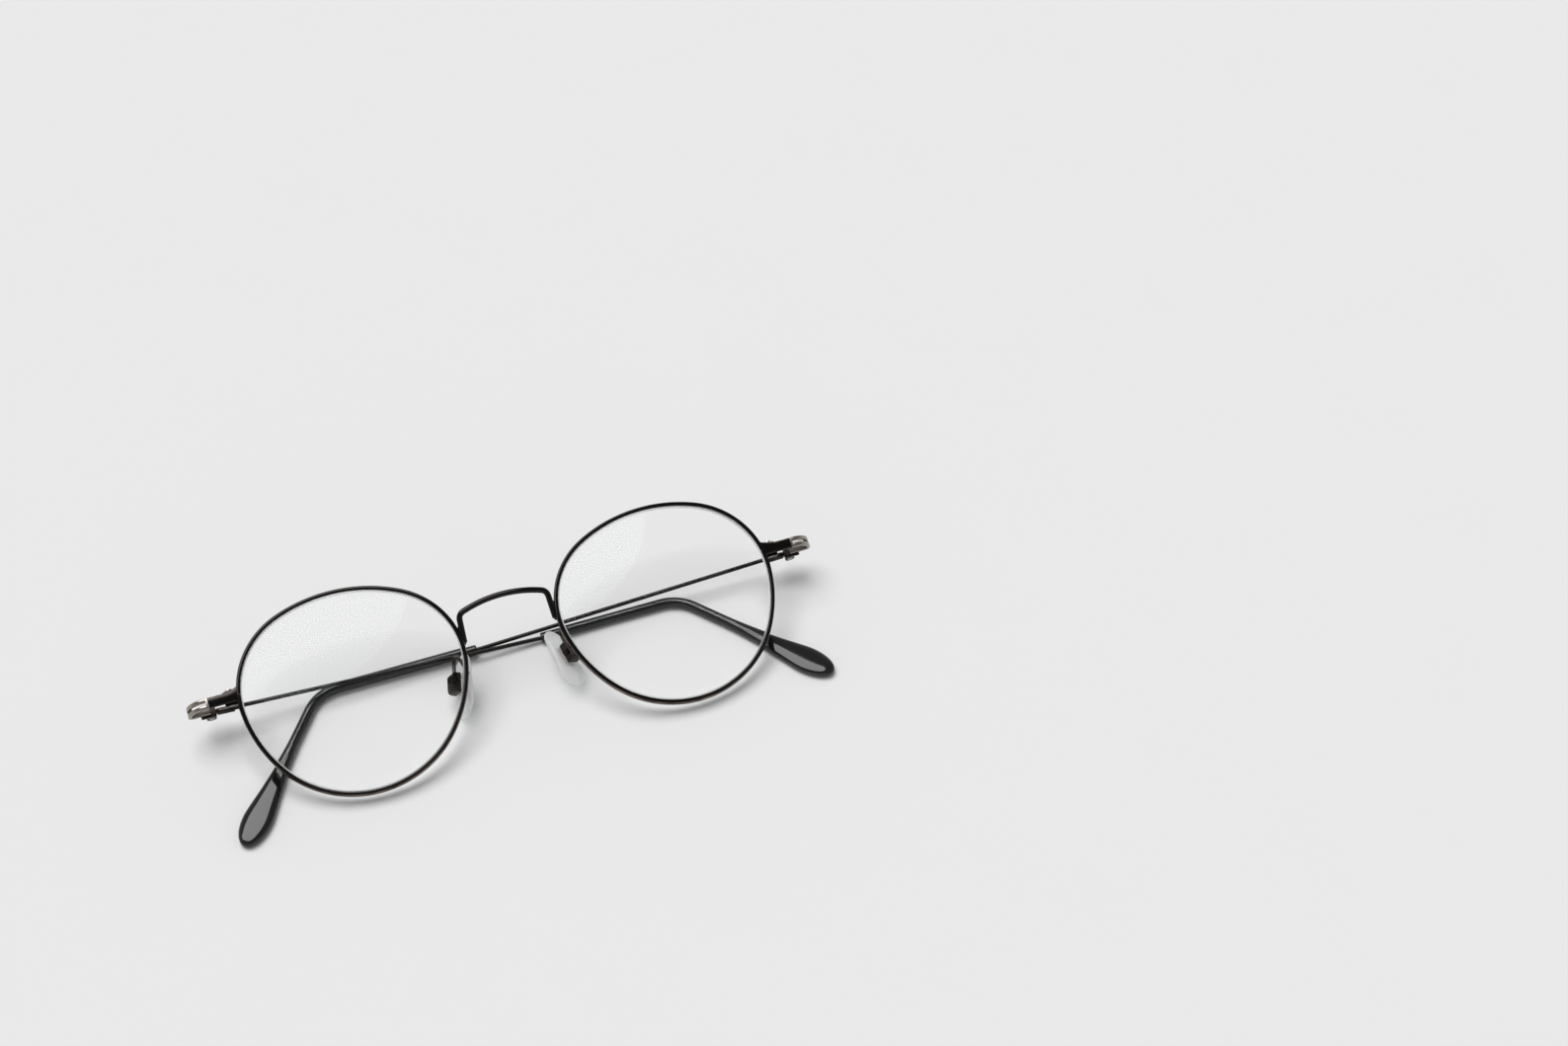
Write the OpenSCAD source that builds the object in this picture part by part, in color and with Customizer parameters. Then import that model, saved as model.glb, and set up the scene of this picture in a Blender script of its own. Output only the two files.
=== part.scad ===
// Round metal eyeglasses, folded and lying on a table. All sizes are in millimetres.
// Z is up from the table, X runs along the width, and the lenses face -Y and up.
// Left is -X and right is +X. The rest position is the folded one.

/* [Lenses and rims] */
// Distance between the centres of the two lenses
lens_pitch = 69; // [68.5:0.1:70]
// Width of one rim, on the middle of its wire
rim_a = 47.54; // [47:0.1:48]
// Height of one rim, on the middle of its wire
rim_b = 44.41; // [44:0.1:44.8]
// Radius of the rim's top, as a share of its width
top_share = 0.6815; // [0.65:0.0005:0.72]
// Radius of the rim's upper corners, as a share of its width
corner_share = 0.3765; // [0.365:0.0005:0.39]
// Radius of the rim's sides, as a share of its width
side_share = 0.6458; // [0.62:0.0002:0.68]
// Angle below its middle at which an upper corner runs into the side
side_turn = 8.6; // [7:0.1:10]
// Turn of each rim in its own plane, outer side up
rim_turn = 4; // [2:0.5:6]
// Backward wrap of each rim towards its temple
rim_wrap = 2; // [1:0.5:4]
// How far each rim's middle lies below the level of the lens centres
rim_drop = 0.62; // [0.4:0.02:0.8]
// Width of the rim wire, seen from the front
rim_w = 0.95; // [0.8:0.05:1.1]
// Depth of the rim wire, front to back
rim_d = 1.6; // [1.4:0.1:1.8]
// Bevel on the rim wire's outer corners
rim_bevel = 0.25; // [0.1:0.05:0.3]
// Depth of the groove that holds the lens
groove = 0.45; // [0.35:0.05:0.5]
// Thickness of a lens
lens_t = 1.8; // [1.6:0.1:2.2]
// Radius of a lens's curved front
lens_r = 130; // [110:5:170]

/* [End pieces] */
// Length of the black end plate, from the rim outwards
plate_len = 6; // [5.6:0.1:6.4]
// Height of the end plate where it meets the rim
plate_root = 3.6; // [3.2:0.1:4]
// Height of the end plate at its outer end
plate_end = 2.3; // [2:0.1:2.6]
// Thickness of the end plate
plate_t = 1.1; // [0.9:0.05:1.3]
// Height of the end plate's middle above the lens centres
end_y = 5.4; // [5:0.1:5.8]
// Height of the silver corner strap
strap_h = 2.4; // [2.2:0.1:2.8]
// Thickness of the corner strap
strap_t = 0.8; // [0.6:0.05:0.9]
// Radius of the strap's wide bend, on its middle
strap_r = 3.6; // [3.3:0.1:4]
// Height of the slot along the corner strap
slot_h = 0.5; // [0.3:0.05:0.8]
// Height of each half of the rim lock
lock_h = 1.55; // [1.4:0.05:1.8]
// Depth of each half of the rim lock
lock_d = 1.75; // [1.6:0.05:2]
// Diameter of the rim lock's screw
lock_screw = 1.2; // [1:0.05:1.3]

/* [Hinges] */
// Diameter of the hinge knuckles
knuckle_d = 2.1; // [2:0.05:2.3]
// Height of each outer knuckle
knuckle_h = 0.85; // [0.7:0.05:1]
// Height of the middle knuckle
middle_h = 0.9; // [0.7:0.05:1.1]
// Gap between two knuckles, filled by a washer
washer_gap = 0.1; // [0.08:0.01:0.14]
// Diameter of the hinge screw
hinge_screw_d = 1.2; // [1.1:0.05:1.3]
// Running play round the hinge screw
hinge_play = 0.05; // [0.03:0.01:0.08]
// Thickness of the hinge's foot plate
foot_t = 0.5; // [0.4:0.05:0.7]

/* [Temples] */
// Diameter of the temple wire
wire_d = 0.9; // [0.8:0.05:1]
// Length across the width from hinge to tip sleeve
wire_run = 71.5; // [71:0.1:72]
// Sideways lean of the left temple's wire as it lies folded
lean_left = -0.82; // [-0.9:0.02:-0.8]
// Sideways lean of the right temple's wire as it lies folded
lean_right = 0.82; // [0.8:0.02:0.9]
// Diameter of the round part of a tip sleeve
sleeve_d = 2.3; // [2.2:0.05:2.4]
// Length of the left sleeve to its ear bend
reach_left = 31.3; // [30.7:0.1:32.2]
// Length of the right sleeve to its ear bend
reach_right = 35; // [34.3:0.1:35.7]
// Ear bend of the left temple
bend_left = 49.2; // [47:0.2:51]
// Ear bend of the right temple
bend_right = 55.4; // [53:0.2:57]
// Length of the left tip, from the bend's corner
arm_left = 39.4; // [38.7:0.1:40.2]
// Length of the right tip, from the bend's corner
arm_right = 39.4; // [38.9:0.1:40.4]
// Radius of the ear bend
bend_r = 9; // [7:0.5:11]
// Greatest width of a tip
tip_w = 6.4; // [6:0.1:6.8]
// Thickness of a tip
tip_t = 2.05; // [1.9:0.05:2.2]
// Distance of the widest place from the end
tip_peak = 6.5; // [5.5:0.1:7.5]
// Length of the taper from the widest place to the sleeve
tip_taper = 20; // [18:0.5:22]
// Length of the rounding at a tip's end and of the ease into its taper
tip_end = 2; // [1.5:0.1:2.5]
// Distance of the wire's end from the tip's end
wire_stop = 9; // [7:0.5:12]

/* [Bridge] */
// Diameter of the bridge wire
bridge_d = 1.3; // [1.1:0.05:1.4]
// Height of the bridge's solder joints above the lens centres
bridge_y = 4.5; // [4.2:0.1:4.8]
// Distance from the middle of a bridge leg to the rim beside it
bridge_in = 0.49; // [0.45:0.01:0.6]
// Rise of the bridge above the middle of its solder joints
bridge_rise = 6.3; // [6:0.1:6.8]
// Radius of the bridge's arch
bridge_arch = 27; // [24:0.5:32]
// Radius of the bridge's two corners
bridge_corner = 1.7; // [1.4:0.1:2]
// Forward lean of the bridge
bridge_lean = 18; // [15:1:21]

/* [Nose pads] */
// Length of a nose pad
pad_len = 14.8; // [14.2:0.1:15.4]
// Width of a nose pad near its lower end
pad_w = 6.6; // [6.3:0.1:6.8]
// Thickness of a nose pad
pad_t = 2.2; // [2:0.1:2.4]
// Distance from the nose pad's middle to its screw
pad_reach = 2.4; // [2.3:0.05:2.6]
// Distance of the pad screw from the rim's nose edge, towards the lens
pad_out = 1.7; // [1.6:0.01:1.9]
// Depth of the pad screw below the level of the lens centres
pad_drop = 4.2; // [4:0.1:4.4]
// Distance of the left pad screw behind the rims
pad_back_left = 3.6; // [3.4:0.05:3.8]
// Distance of the right pad screw behind the rims
pad_back_right = 3.3; // [3.2:0.05:3.5]
// Distance that both nose pads are bent towards the left
pad_shift = 1.5; // [1.3:0.05:1.6]
// Lean of a nose pad, top towards the nose
pad_tilt = 15; // [13:0.5:17]
// Turn of the left nose pad, back edge outwards
pad_splay_left = 28; // [25:0.5:30]
// Turn of the right nose pad, back edge outwards
pad_splay_right = 50; // [47:0.5:52]
// Diameter of the pad screw
pad_screw_d = 0.9; // [0.8:0.05:1]
// Diameter of the pad arm's wire
arm_d = 0.8; // [0.7:0.05:0.9]

/* [How it lies] */
// Backward tilt of the front as it lies
front_tilt = 20.85; // [20.5:0.05:21]
// Height of the lens centres above the table
lens_h = 10.5; // [10.45:0.05:10.8]
// Shift that brings the whole object over the origin
centre_y = 1.9; // [1.6:0.05:2.2]

/* [Hidden] */
$fn = 48;
EPS = 0.01;
// Arcs of an outline that is rim_a wide and natural_b high, then stretched to rim_b
natural_b = rim_a * 0.93416;
stretch = rim_b / natural_b;
top_r = rim_a * top_share;
corner_r = rim_a * corner_share;
side_r = rim_a * side_share;
top_c = [0, natural_b / 2 - top_r];
cor_x = rim_a / 2 - corner_r;
cor_c = [cor_x, top_c[1] + sqrt(pow(top_r - corner_r, 2) - cor_x * cor_x)];
side_c = cor_c - (side_r - corner_r) * [cos(side_turn), -sin(side_turn)];
// The bottom arc touches both sides from within and reaches the outline's lowest point
side_k = side_c[1] + natural_b / 2;
bottom_r = (side_r * side_r - side_c[0] * side_c[0] - side_k * side_k) / (2 * (side_r - side_k));
bot_c = [0, bottom_r - natural_b / 2];
top_a = atan2(cor_c[1] - top_c[1], cor_c[0] - top_c[0]);
bot_a = atan2(bot_c[1] - side_c[1], bot_c[0] - side_c[0]);
// Each arc as centre, radius, start and end
RIM_ARCS = [
    [bot_c, bottom_r, -180 - bot_a, bot_a],
    [side_c, side_r, bot_a, -side_turn],
    [cor_c, corner_r, -side_turn, top_a],
    [top_c, top_r, top_a, 180 - top_a],
    [[-cor_c[0], cor_c[1]], corner_r, 180 - top_a, 180 + side_turn],
    [[-side_c[0], side_c[1]], side_r, 180 + side_turn, 180 - bot_a]
];

// Points round the rim's middle line, moved inwards by an inset
function outline(inset) = [
    for (a = RIM_ARCS)
        let (n = ceil(a[1] * (a[3] - a[2]) / 90))
        for (i = [0 : n - 1])
            let (t = a[2] + (a[3] - a[2]) * i / n, p = a[0] + a[1] * [cos(t), sin(t)])
            [p[0], p[1] * stretch] - inset * unit([stretch * cos(t), sin(t)])
];
function placed(p) = [
    lens_pitch / 2 + (p[0] * cos(rim_turn) - p[1] * sin(rim_turn)) * cos(rim_wrap),
    p[0] * sin(rim_turn) + p[1] * cos(rim_turn) - rim_drop
];

// Where the rim's outer edge is at a height y, on its temple side or nose side
function rim_edge(side, y) =
    let (
        ring = [for (p = outline(-rim_w / 2)) placed(p)],
        hits = [for (i = [0 : len(ring) - 1])
            let (p = ring[i], q = ring[(i + 1) % len(ring)])
            if ((p[1] - y) * (q[1] - y) <= 0 && side * (p[0] - lens_pitch / 2) > 0)
            p[0] + (q[0] - p[0]) * (y - p[1]) / (q[1] - p[1])]
    )
    hits[0];
function rim_z(x) = (lens_pitch / 2 - x) * tan(rim_wrap);
// End piece, strap and hinge, each from the one before it
edge_x = rim_edge(1, end_y);
plate_x = edge_x + plate_len;
plate_z = rim_z(edge_x) + rim_d / 2 - plate_t / 2;
strap_x = plate_x + 0.7;
strap_z = plate_z - strap_r;
strap_small = 0.7;
strap_back = strap_z - strap_small - strap_t / 2;
hinge_x = plate_x + 0.2;
hinge_y = end_y - 0.3;
foot_back = strap_back - foot_t;
hinge_z = foot_back - knuckle_d / 2 - 0.16;
hinge_h = 2 * knuckle_h + middle_h + 2 * washer_gap;
bore_r = hinge_screw_d / 2 + hinge_play;
// Hinge pin and sleeve mouth as they lie on the table
pin_y = cos(front_tilt) * hinge_y - sin(front_tilt) * hinge_z + centre_y;
pin_z = sin(front_tilt) * hinge_y + cos(front_tilt) * hinge_z + lens_h;
sleeve_z = sleeve_d / 2;
flat_cut = 0.12;
function lean(side) = side < 0 ? lean_left : lean_right;
function reach(side) = side < 0 ? reach_left : reach_right;
function bend(side) = side < 0 ? bend_left : bend_right;
function arm(side) = side < 0 ? arm_left : arm_right;
function bend_set(side) = bend_r * tan(bend(side) / 2);
function pin(side) = [side * hinge_x, pin_y, pin_z];
function mouth(side) = [side * (hinge_x - wire_run), pin_y + lean(side), sleeve_z];
function along(side, d) =
    let (v = mouth(side) - pin(side)) pin(side) + v * d / norm(v);
// Bridge legs and nose pads keep their distance from the rims
bridge_half = rim_edge(-1, bridge_y) - bridge_in;
pad_x = rim_edge(-1, -pad_drop) + pad_out;
function pad_back(side) = side < 0 ? pad_back_left : pad_back_right;
function pad_splay(side) = side < 0 ? pad_splay_left : pad_splay_right;
function pad_at(side) = [pad_x - side * pad_shift, -pad_drop, -pad_back(side)];
// Nose pad box and arm
box_d = 1.9;
box_h = 4.4;
box_w = 2.6;
box_wall = 0.45;
pad_fit = 0.02;

module rod(p, q, d) {
    v = q - p;
    translate(p)
        rotate([0, acos(v[2] / norm(v)), atan2(v[1], v[0])])
            cylinder(d = d, h = norm(v));
}

module front_place() {
    translate([0, centre_y, lens_h])
        rotate([front_tilt, 0, 0])
            children();
}

module sided(side) {
    if (side < 0) {
        mirror([1, 0, 0]) children();
    } else {
        children();
    }
}

module rim_place() {
    translate([lens_pitch / 2, 0, 0])
        rotate([0, rim_wrap, 0])
            translate([0, -rim_drop, 0])
                rotate([0, 0, rim_turn])
                    children();
}

module slab(inset, low, high) {
    translate([0, 0, low])
        linear_extrude(height = high - low)
            polygon(outline(inset));
}

function unit(v) = v / norm(v);
function power(v, n) = sign(v) * pow(abs(v), n);

// Ring of points round a path, w wide and h high, rounder for a small n
function hoop(p, t, w, h, n = 1, lift = 0, around = 16) =
    let (u = unit(cross(t, [0, 0, 1])), v = cross(u, unit(t)))
    [for (k = [0 : around - 1])
        let (a = 360 * (k + 0.5) / around)
        p + u * w / 2 * power(cos(a), n) + v * (lift + h / 2 * power(sin(a), n))];

function tangent(path, i) =
    unit(path[min(i + 1, len(path) - 1)] - path[max(i - 1, 0)]);

// Closed skin through a list of hoops
module loft(hoops) {
    n = len(hoops[0]);
    last = (len(hoops) - 1) * n;
    middle = function (h) [for (c = [0 : 2]) [for (q = h) q[c]] * [for (q = h) 1] / n];
    sides = [for (i = [0 : len(hoops) - 2], k = [0 : n - 1])
        let (m = (k + 1) % n, p = i * n)
        each [[p + k, p + m, p + n + k], [p + m, p + n + m, p + n + k]]];
    ends = [for (k = [0 : n - 1])
        let (m = (k + 1) % n, c = len(hoops) * n)
        each [[k, c, m], [last + m, c + 1, last + k]]];
    polyhedron(
        points = concat([for (h = hoops) each h], [middle(hoops[0]), middle(hoops[len(hoops) - 1])]),
        faces = concat(sides, ends)
    );
}

module wire(path, d) {
    loft([for (i = [0 : len(path) - 1]) hoop(path[i], tangent(path, i), d, d)]);
}

// Everything inside the rim's outer edge
module rim_cut() {
    rim_place()
        slab(-rim_w / 2, -4 * rim_d, 4 * rim_d);
}

module rim(side) {
    w = rim_w / 2;
    d = rim_d / 2;
    color("#1c1a19")
        front_place()
            sided(side)
                difference() {
                    rim_place()
                        difference() {
                            union() {
                                slab(-w, rim_bevel - d, d - rim_bevel);
                                slab(rim_bevel * 0.7 - w, -d, d);
                            }
                            slab(w, -d - 1, d + 1);
                            slab(w - groove, -0.45, 0.45);
                        }
                    translate([edge_x - 2, end_y - 0.1, -4])
                        cube([4, 0.2, 6]);
                }
}

module lens(side) {
    rest_r = rim_b / 2;
    crown = sqrt(lens_r * lens_r - rest_r * rest_r);
    color("#dfe7e6", 0.35)
        front_place()
            sided(side)
                rim_place() {
                    intersection() {
                        slab(rim_w / 2 + 0.02, -rim_d, 4);
                        difference() {
                            translate([0, 0, lens_t / 3 - crown])
                                sphere(r = lens_r, $fn = 144);
                            translate([0, 0, lens_t / 3 - crown])
                                sphere(r = lens_r - lens_t, $fn = 144);
                        }
                    }
                    difference() {
                        slab(rim_w / 2 - groove + 0.05, -0.3, 0.3);
                        slab(rim_w / 2 + 1, -1, 1);
                    }
                }
}

module end_piece(side) {
    steps = 12;
    flare = 3.2;
    low = [for (i = [0 : steps])
        let (t = i / steps, f = pow(1 - t, 2))
        [edge_x - 0.5 + t * flare, end_y + 0.5 * f - plate_end / 2 - (plate_root - plate_end) / 2 * f]];
    high = [for (i = [0 : steps])
        let (t = 1 - i / steps, f = pow(1 - t, 2))
        [edge_x - 0.5 + t * flare, end_y + 0.5 * f + plate_end / 2 + (plate_root - plate_end) / 2 * f]];
    color("#151413")
        front_place()
            sided(side)
                difference() {
                    translate([0, 0, plate_z - plate_t / 2])
                        linear_extrude(height = plate_t)
                            polygon(concat(
                                low,
                                [[plate_x, end_y - plate_end / 2], [plate_x, end_y + plate_end / 2]],
                                high
                            ));
                    rim_cut();
                }
}

module lock_block(y0) {
    difference() {
        translate([edge_x - 0.6, y0, plate_z - plate_t / 2 - lock_d])
            cube([3.3, lock_h, lock_d]);
        rim_cut();
        lock_bore(lock_screw / 2 + 0.01);
    }
}

module lock_bore(r) {
    translate([edge_x + 1.4, end_y - 3, plate_z - plate_t / 2 - lock_d / 2])
        rotate([-90, 0, 0])
            cylinder(r = r, h = 6);
}

module rim_lock_upper(side) {
    color("#1f1d1c")
        front_place()
            sided(side)
                lock_block(end_y + 0.05);
}

module rim_lock_lower(side) {
    color("#1f1d1c")
        front_place()
            sided(side)
                lock_block(end_y - 0.05 - lock_h);
}

module rim_lock_screw(side) {
    top = end_y + 0.05 + lock_h;
    color("#8d8a86")
        front_place()
            sided(side)
                translate([edge_x + 1.4, top, plate_z - plate_t / 2 - lock_d / 2])
                    rotate([90, 0, 0])
                        difference() {
                            union() {
                                cylinder(d = lock_screw, h = 2 * lock_h);
                                translate([0, 0, -0.4]) cylinder(d = 1.7, h = 0.4);
                            }
                            translate([-1, -0.15, -0.5]) cube([2, 0.3, 0.3]);
                        }
}

module quarter_ring(r, t) {
    intersection() {
        difference() {
            circle(r = r + t / 2, $fn = 96);
            circle(r = r - t / 2, $fn = 96);
        }
        square(2 * r + t);
    }
}

module corner_loop(side) {
    top = end_y + strap_h / 2;
    color("#8c7f79")
        front_place()
            sided(side)
                difference() {
                    translate([0, top, 0])
                        rotate([90, 0, 0])
                            linear_extrude(height = strap_h) {
                                translate([plate_x, plate_z - strap_t / 2])
                                    square([strap_x - plate_x + EPS, strap_t]);
                                translate([strap_x, strap_z])
                                    quarter_ring(strap_r, strap_t);
                                translate([strap_x + strap_r - strap_small, strap_z])
                                    mirror([0, 1])
                                        quarter_ring(strap_small, strap_t);
                                translate([hinge_x - 0.1, strap_back])
                                    square([strap_x + strap_r - strap_small - hinge_x + 0.1 + EPS, strap_t]);
                            }
                    translate([plate_x + 0.35, end_y - slot_h / 2, strap_z + 0.2])
                        cube([8, slot_h, 8]);
                }
}

module front_knuckle(y0) {
    translate([hinge_x, y0 + knuckle_h, hinge_z])
        rotate([90, 0, 0])
            cylinder(d = knuckle_d, h = knuckle_h);
    translate([hinge_x - knuckle_d * 0.36, y0, hinge_z])
        cube([knuckle_d * 0.72, knuckle_h, foot_back - hinge_z + EPS]);
}

module hinge_front(side) {
    color("#2a2827")
        front_place()
            sided(side)
                difference() {
                    union() {
                        translate([hinge_x - 1.2, hinge_y - hinge_h / 2, foot_back])
                            cube([3.2, hinge_h, foot_t]);
                        front_knuckle(hinge_y - hinge_h / 2);
                        front_knuckle(hinge_y + hinge_h / 2 - knuckle_h);
                    }
                    translate([hinge_x, hinge_y + hinge_h, hinge_z])
                        rotate([90, 0, 0])
                            cylinder(r = hinge_screw_d / 2 + 0.01, h = 2 * hinge_h);
                }
}

module hinge_screw(side) {
    color("#9a9792")
        front_place()
            sided(side)
                translate([hinge_x, hinge_y + hinge_h / 2, hinge_z])
                    rotate([90, 0, 0])
                        difference() {
                            union() {
                                cylinder(d = hinge_screw_d, h = hinge_h);
                                translate([0, 0, -0.4]) cylinder(d = 1.9, h = 0.4);
                            }
                            translate([-1.2, -0.15, -0.5]) cube([2.4, 0.3, 0.3]);
                        }
}

module hinge_rear(side) {
    color("#2a2827")
        difference() {
            union() {
                front_place()
                    sided(side) {
                        translate([hinge_x, hinge_y + middle_h / 2, hinge_z])
                            rotate([90, 0, 0])
                                cylinder(d = knuckle_d, h = middle_h);
                        translate([hinge_x - 2, hinge_y - middle_h / 2, hinge_z - 0.55])
                            cube([2, middle_h, 1]);
                    }
                rod(along(side, 1.35), along(side, 5), wire_d + 0.6);
            }
            front_place()
                sided(side)
                    translate([hinge_x, hinge_y + 2, hinge_z])
                        rotate([90, 0, 0])
                            cylinder(r = bore_r, h = 4);
            rod(along(side, 2.4), along(side, 6), wire_d + 0.02);
        }
}

module hinge_washers(side) {
    color("#b9b5ae")
        front_place()
            sided(side)
                for (y = [hinge_y + middle_h / 2 + EPS, hinge_y - middle_h / 2 - washer_gap + EPS]) {
                    translate([hinge_x, y, hinge_z])
                        rotate([-90, 0, 0])
                            difference() {
                                cylinder(d = knuckle_d - 0.15, h = washer_gap - 2 * EPS);
                                translate([0, 0, -1]) cylinder(r = bore_r, h = 2);
                            }
                }
}

// Place on the sleeve's middle line, a distance d from its mouth, and its direction there
function sleeve_len(side) = reach(side) - bend_set(side);
function curve_len(side) = bend_r * bend(side) * PI / 180;
function tip_len(side) = sleeve_len(side) + curve_len(side) + arm(side) - bend_set(side);
function spine(side, d) =
    let (
        a = min(bend(side), max(0, (d - sleeve_len(side)) / bend_r * 180 / PI)),
        before = min(d, sleeve_len(side)),
        after = max(0, d - sleeve_len(side) - curve_len(side)),
        x = before + bend_r * sin(a) + after * cos(a),
        y = bend_r * (cos(a) - 1) - after * sin(a)
    )
    [mouth(side) + [-side * x, y, 0], [-side * cos(a), -sin(a), 0]];
function bend_steps(side) = [for (i = [0 : 8]) sleeve_len(side) + curve_len(side) * i / 8];

module temple_wire(side) {
    places = concat(bend_steps(side), [tip_len(side) - wire_stop]);
    color("#1a1918")
        wire(concat([along(side, 2.4), mouth(side)], [for (d = places) spine(side, d)[0]]), wire_d);
}

function tip_fall(e) =
    let (d = sqrt(pow(max(0, e - tip_peak), 2) + tip_end * tip_end) - tip_end)
    pow(max(0, 1 - d / tip_taper), 1.9);
function tip_blend(e) = min(1, 3 * tip_fall(e));
function tip_width(e) =
    e < tip_peak
        ? tip_w * sqrt(1 - pow(1 - e / tip_peak, 2))
        : sleeve_d + (tip_w - sleeve_d) * tip_fall(e);
function tip_full(e) = sleeve_d + (tip_t + flat_cut - sleeve_d) * tip_blend(e);
function tip_thick(e) = tip_full(e) * (e < tip_end ? sqrt(1 - pow(1 - e / tip_end, 2)) : 1);
function tip_lift(e) = tip_full(e) / 2 - sleeve_d / 2 - flat_cut * tip_blend(e);

module temple_tip(side) {
    from = sleeve_len(side) + curve_len(side);
    long = tip_len(side) - from;
    places = concat(
        [0.6],
        bend_steps(side),
        [for (i = [1 : 16]) from + long * (1 - pow(1 - i / 16.6, 1.7))]
    );
    bore = concat([mouth(side) - 2 * spine(side, 0)[1]], [for (d = bend_steps(side)) spine(side, d)[0]],
        [spine(side, tip_len(side) - wire_stop + 0.05)[0]]);
    color("#171615")
        difference() {
            loft(concat(
                [hoop(spine(side, 0)[0], spine(side, 0)[1], sleeve_d - 0.6, sleeve_d - 0.6)],
                [for (d = places)
                    let (e = tip_len(side) - d, s = spine(side, d))
                    hoop(s[0], s[1], tip_width(e), tip_thick(e), 2 / (2 + 0.8 * tip_blend(e)), tip_lift(e))]
            ));
            wire(bore, wire_d + 0.1);
            translate([-wire_run, -wire_run, -sleeve_d]) cube([2 * wire_run, 2 * wire_run, sleeve_d]);
        }
}

// One bent wire in a leaning plane, with a solder joint on each rim
module bridge() {
    bridge_z = rim_z(rim_edge(-1, bridge_y));
    reach_a = asin((bridge_half - bridge_corner) / (bridge_arch - bridge_corner));
    leg_a = 3;
    low = bridge_rise - bridge_arch;
    corner = [bridge_half - bridge_corner, low + (bridge_arch - bridge_corner) * cos(reach_a), 0];
    leg = (corner[1] + 1.8) / cos(leg_a);
    half = concat(
        [for (i = [1 : 9]) [bridge_arch * sin(reach_a * i / 9), low + bridge_arch * cos(reach_a * i / 9), 0]],
        [for (i = [1 : 7])
            let (a = 90 - reach_a + (leg_a - 90 + reach_a) * i / 7)
            corner + bridge_corner * [cos(a), sin(a), 0]],
        [corner + bridge_corner * [cos(leg_a), sin(leg_a), 0] + leg * [sin(leg_a), -cos(leg_a), 0]]
    );
    last = len(half) - 1;
    path = concat(
        [for (i = [last : -1 : 0]) [-half[i][0], half[i][1], 0]],
        [[0, bridge_rise, 0]],
        half
    );
    color("#161514")
        front_place()
            difference() {
                translate([0, bridge_y, bridge_z])
                    rotate([bridge_lean, 0, 0]) {
                        wire(path, bridge_d);
                        for (s = [-1, 1]) {
                            translate([s * (bridge_half + 0.65), 0.25, 0])
                                cube([1.3, 3.3, 0.9], center = true);
                        }
                    }
                for (s = [-1, 1]) {
                    sided(s) rim_cut();
                }
            }
}

module pad_place(side) {
    front_place()
        sided(side)
            translate(pad_at(side))
                rotate([0, -pad_splay(side), 0])
                    rotate([0, 0, pad_tilt])
                        children();
}

// Point on a smooth curve that is drawn by its guide points
function curve(guides, t) =
    len(guides) == 1
        ? guides[0]
        : curve([for (i = [0 : len(guides) - 2]) guides[i] * (1 - t) + guides[i + 1] * t], t);

module pad_arm(side) {
    foot_y = -3.4;
    foot_d = 1.05;
    foot_x = rim_edge(-1, foot_y) + foot_d / 2 - 0.12;
    foot_z = rim_z(foot_x) - rim_d / 2 - 0.03;
    splay = pad_splay(side);
    up = [-sin(pad_tilt) * cos(splay), cos(pad_tilt), -sin(pad_tilt) * sin(splay)];
    box_top = pad_at(side) + box_h / 2 * up;
    across = box_top[0] - foot_x;
    guides = [
        [foot_x, foot_y, foot_z - 0.15],
        [foot_x, foot_y + 0.4, foot_z - 1.6],
        [foot_x + 0.15 * across, foot_y + 4.2, foot_z - 1.2],
        [foot_x + 0.6 * across, foot_y + 6.8, foot_z - 3],
        box_top + 3.6 * up + [0, 0, -1],
        box_top + 1.5 * up,
        box_top
    ];
    color("#242220")
        front_place()
            sided(side) {
                translate([foot_x, foot_y, foot_z - 0.5])
                    cylinder(d = foot_d, h = 0.5);
                wire([for (i = [0 : 18]) curve(guides, i / 18)], arm_d);
            }
}

module pad_box(side) {
    round_r = 0.8;
    back = box_d - 0.85;
    color("#3a3735")
        pad_place(side)
            difference() {
                translate([0, 0, -box_w / 2])
                    linear_extrude(height = box_w) {
                        translate([-0.85, -box_h / 2]) square([box_d - round_r, box_h]);
                        translate([-0.85, round_r - box_h / 2]) square([box_d, box_h - 2 * round_r]);
                        for (s = [-1, 1]) {
                            translate([back - round_r, s * (box_h / 2 - round_r)]) circle(r = round_r);
                        }
                    }
                translate([-2, box_wall - box_h / 2, box_wall - box_w / 2])
                    cube([2 + back - box_wall, box_h - 2 * box_wall, box_w - 2 * box_wall]);
                translate([0, 0, -3])
                    cylinder(r = pad_screw_d / 2 + 0.01, h = 6);
            }
}

module pad_screw(side) {
    color("#8f8c88")
        pad_place(side)
            difference() {
                union() {
                    translate([0, 0, -box_w / 2]) cylinder(d = pad_screw_d, h = box_w);
                    translate([0, 0, box_w / 2]) cylinder(d = 1.5, h = 0.35);
                }
                translate([-1, -0.12, box_w / 2 + 0.15]) cube([2, 0.24, 1]);
            }
}

// Tab inside the box and plate inside the pad, grown by a fit
module pad_tab(fit) {
    translate([-pad_reach + 0.5, -1.2 - fit, -0.55 - fit])
        cube([pad_reach - 0.15, 2.4 + 2 * fit, 1.1 + 2 * fit]);
    translate([-pad_reach - 0.1 - fit, -2.4 - fit, -1.5 - fit])
        cube([0.6 + 2 * fit, 4.8 + 2 * fit, 3 + 2 * fit]);
}

module pad_core(side) {
    color("#a9a6a1")
        pad_place(side)
            difference() {
                pad_tab(0);
                translate([0, 0, -3])
                    cylinder(r = pad_screw_d / 2 + 0.05, h = 6);
            }
}

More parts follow.
